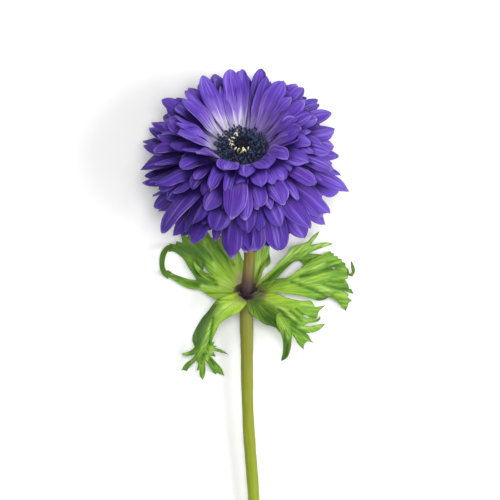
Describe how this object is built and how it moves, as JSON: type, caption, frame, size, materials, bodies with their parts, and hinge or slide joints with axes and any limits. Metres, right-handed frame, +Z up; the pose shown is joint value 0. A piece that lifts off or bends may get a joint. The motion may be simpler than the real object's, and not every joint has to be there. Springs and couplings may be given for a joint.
{
  "type": "anemone flower",
  "caption": "Cut double anemone lying on a flat surface: domed violet bloom of layered petals with a dark centre, nodding green stem and a ruff of divided leaves below it.",
  "frame": {"origin": "middle of the flower's footprint, on the surface it lies on", "axes": "+Z up from the surface, +Y along the stem from its cut end towards the bloom, +X to the right seen from above with the bloom at the far end"},
  "size_m": [0.0863, 0.2506, 0.0542],
  "materials": {
    "stem": "living stem, olive green turning yellow green towards the cut end, finely ribbed along its length",
    "leaf": "living leaf, satin green, yellow green at its foot and darker towards its cut tips, with sunken veins",
    "petal": "soft violet-blue petal with fine darker veins along it, paler rim and whitish foot",
    "stamen": "blue-black anthers on dark violet filaments, with a dusting of pale pollen",
    "pistil": "matt blue-black dome of crowded carpels"
  },
  "bodies": {
    "root": {"stem": "stem", "leaf_upper_left": "leaf", "leaf_lower_left": "leaf", "leaf_right": "leaf", "leaf_lower_right": "leaf", "leaf_back": "leaf", "petals": "petal", "stamens": "stamen", "pistil": "pistil"}
  },
  "joints": []
}
